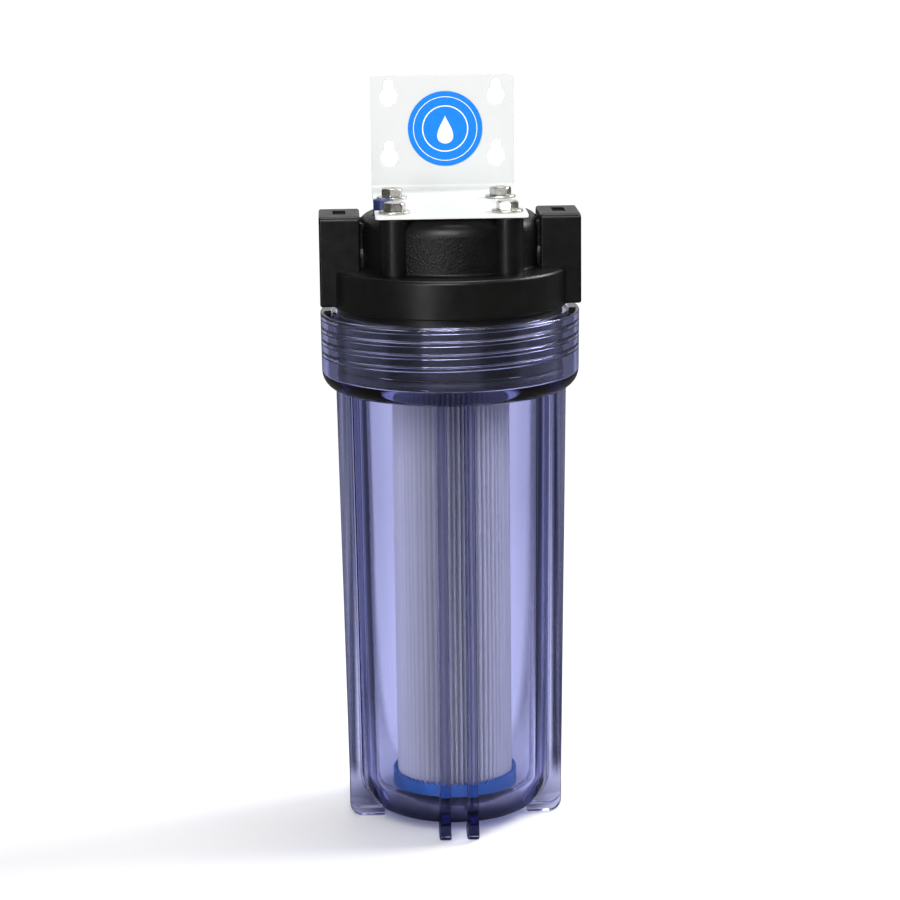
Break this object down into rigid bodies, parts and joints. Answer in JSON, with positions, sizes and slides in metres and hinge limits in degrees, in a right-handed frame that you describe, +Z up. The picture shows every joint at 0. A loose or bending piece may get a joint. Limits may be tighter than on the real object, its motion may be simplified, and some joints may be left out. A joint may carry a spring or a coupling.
{
  "type": "inline water filter",
  "caption": "Wall-hung inline water filter: clear ribbed sump screwed into a black two-port cap, pleated cartridge inside, relief button and steel wall bracket.",
  "frame": {"origin": "on the floor under the middle of the whole object; the sump's axis is 1.45 mm in front of it", "axes": "+Z up along the sump's axis, -Y the front, the inlet port opens along -X and the outlet port along +X"},
  "size_m": [0.1342, 0.137, 0.3877],
  "materials": {
    "clear_plastic": "clear, tinted blue-violet, glossy",
    "black_plastic": "satin black, fine grain on the drum",
    "white_paint": "smooth white powder coat",
    "label_film": "satin printed film",
    "navy_plastic": "satin navy",
    "spring_steel": "bright wire",
    "stainless_steel": "bright, slightly warm",
    "seal_rubber": "matt black",
    "retainer_plastic": "natural white",
    "pleated_media": "matt non-woven sheet",
    "core_plastic": "natural white",
    "blue_end_cap": "satin blue"
  },
  "bodies": {
    "cap_assembly": {"cap": "black_plastic", "cap_drum": "black_plastic", "cap_skirt": "black_plastic", "cap_neck": "black_plastic", "inlet_boss": "black_plastic", "outlet_boss": "black_plastic", "outlet_channel": "black_plastic", "bracket": "white_paint", "label": "label_film", "relief_spring": "spring_steel", "bolt_front_left": "stainless_steel", "bolt_front_right": "stainless_steel", "bolt_rear_left": "stainless_steel", "bolt_rear_right": "stainless_steel", "flat_washer_front_left": "stainless_steel", "flat_washer_front_right": "stainless_steel", "flat_washer_rear_left": "stainless_steel", "flat_washer_rear_right": "stainless_steel", "column_front_left": "black_plastic", "column_front_right": "black_plastic", "column_rear_left": "black_plastic", "column_rear_right": "black_plastic"},
    "cartridge": {"cartridge_media": "pleated_media", "cartridge_core": "core_plastic", "cartridge_top_cap": "blue_end_cap", "cartridge_bottom_cap": "blue_end_cap", "top_gasket": "seal_rubber", "bottom_gasket": "seal_rubber"},
    "sump": {"sump": "clear_plastic", "sump_o_ring": "seal_rubber"},
    "relief_button": {"relief_button": "navy_plastic", "relief_seal": "seal_rubber", "relief_retainer": "retainer_plastic"}
  },
  "joints": [
    {"name": "sump_lower", "type": "slide", "parent": "cap_assembly", "child": "cartridge", "axis": [0, 0, -1], "range_m": [0, 0.0191]},
    {"name": "sump_turn", "type": "hinge", "parent": "cartridge", "child": "sump", "pos_m": [0, -0.00145, 0.26], "axis": [0, 0, -1], "range_deg": [0, 1080]},
    {"name": "relief_press", "type": "slide", "parent": "cap_assembly", "child": "relief_button", "axis": [0, 0, -1], "range_m": [0, 0.0025], "stiffness_N_per_m": 600, "springref_m": -0.003, "deforming": ["relief_spring"]}
  ],
  "couplings": [
    {"joint": "sump_lower", "follows": "sump_turn", "m_per_rad": 0.0010106}
  ]
}
